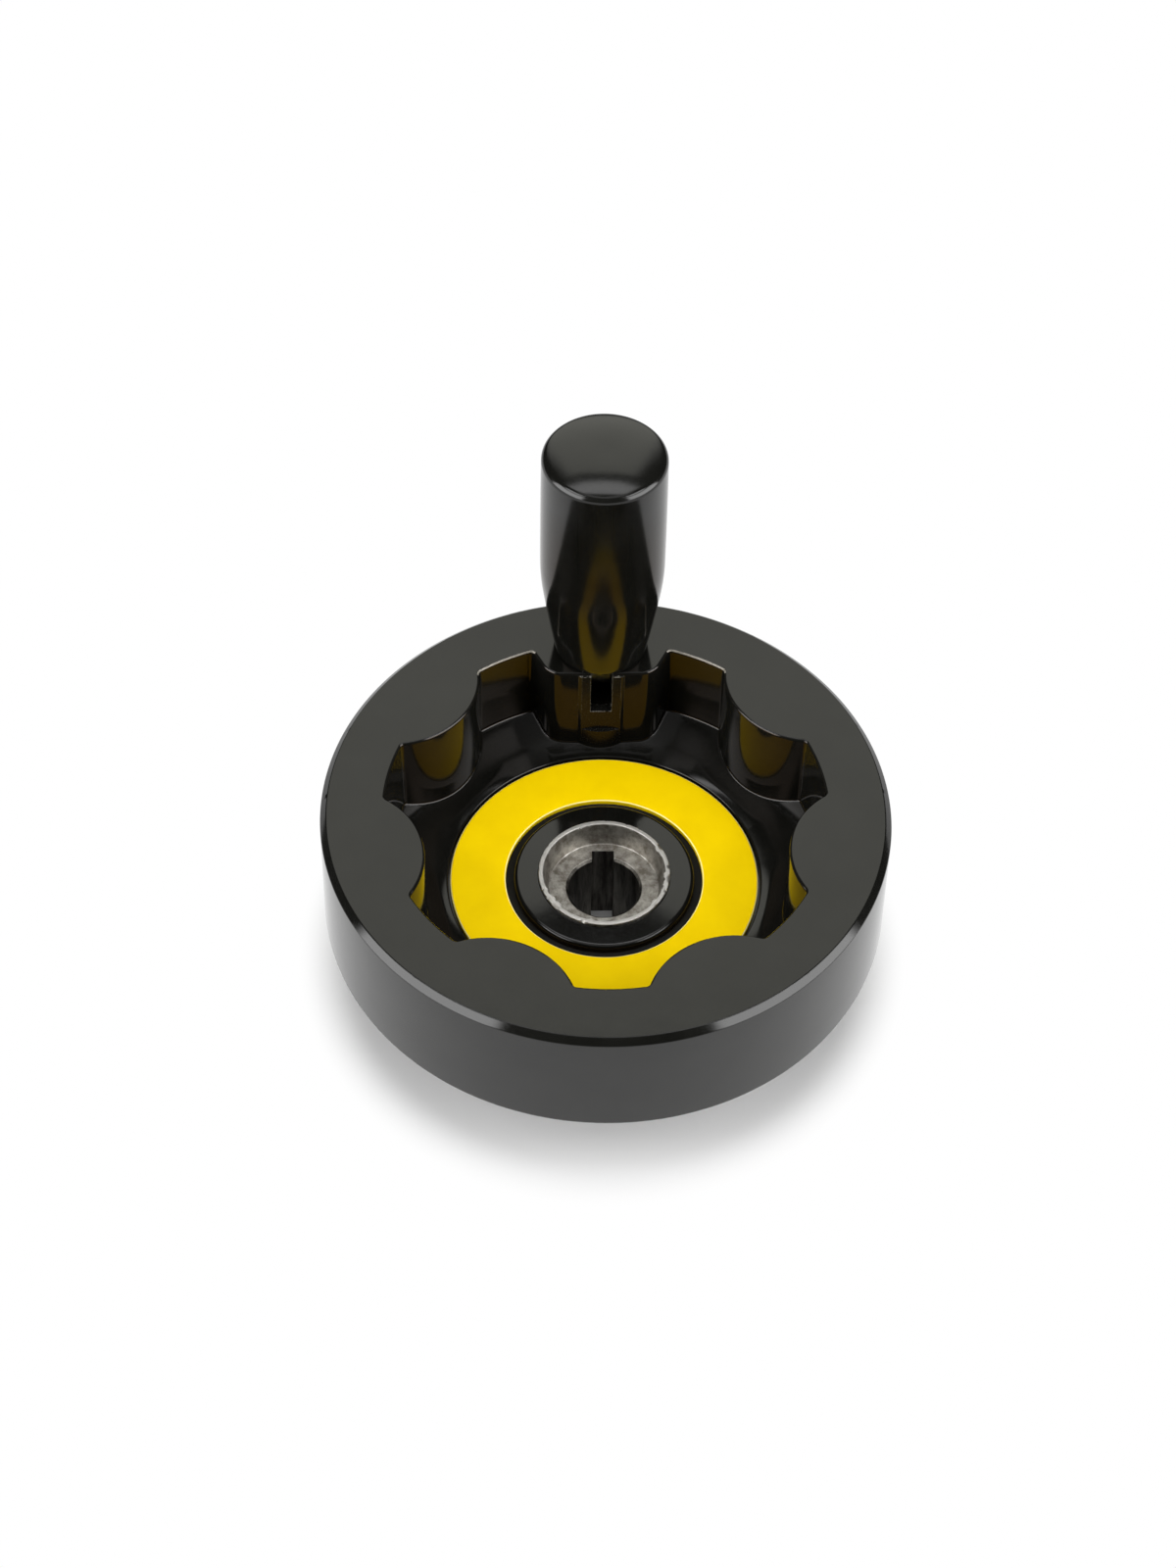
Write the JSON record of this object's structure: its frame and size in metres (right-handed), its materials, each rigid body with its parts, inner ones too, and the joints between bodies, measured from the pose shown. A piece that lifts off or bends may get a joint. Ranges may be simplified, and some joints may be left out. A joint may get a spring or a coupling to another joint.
{
  "type": "handwheel",
  "caption": "Bowl-shaped machine handwheel with finger lobes inside the rim, a keyed steel hub bush, a yellow ring plate and a revolving handle that folds into the bowl.",
  "frame": {"origin": "centre of the hub bush's back face, on the bore axis", "axes": "+Z along the bore axis from the hub's back into the bowl, +Y towards the handle"},
  "size_m": [0.125, 0.125, 0.1111],
  "materials": {
    "wheel_phenolic": "black phenolic moulding, glossy",
    "grip_phenolic": "black phenolic moulding, polished",
    "ring_yellow": "yellow lacquer, satin",
    "bush_steel": "turned steel",
    "hinge_steel": "blackened steel",
    "pin_steel": "ground steel",
    "spindle_steel": "turned steel",
    "clip_steel": "phosphated spring steel",
    "washer_steel": "stamped steel",
    "spring_steel": "drawn spring wire",
    "guide_bronze": "turned bronze"
  },
  "bodies": {
    "wheel": {"wheel": "wheel_phenolic", "hub_bush": "bush_steel", "ring_plate": "ring_yellow", "hinge_block": "hinge_steel", "pivot_pin": "pin_steel"},
    "spindle": {"spindle": "spindle_steel", "retaining_clip": "clip_steel", "stop_washer": "washer_steel", "spring": "spring_steel"},
    "slider": {"thrust_washer": "washer_steel"},
    "grip": {"grip": "grip_phenolic", "guide_bush": "guide_bronze"}
  },
  "joints": [
    {"name": "fold", "type": "hinge", "parent": "wheel", "child": "spindle", "pos_m": [0, 0.0483, 0.043], "axis": [1, 0, 0], "range_deg": [0, 90]},
    {"name": "grip_lift", "type": "slide", "parent": "spindle", "child": "slider", "axis": [0, 0, 1], "range_m": [0, 0.0114], "deforming": ["spring"]},
    {"name": "grip_spin", "type": "hinge", "parent": "slider", "child": "grip", "pos_m": [0, 0.0483, 0.0513], "axis": [0, 0, 1], "continuous": true}
  ],
  "couplings": [
    {"joint": "grip_lift", "follows": "fold", "m_per_rad": 0.0072}
  ]
}
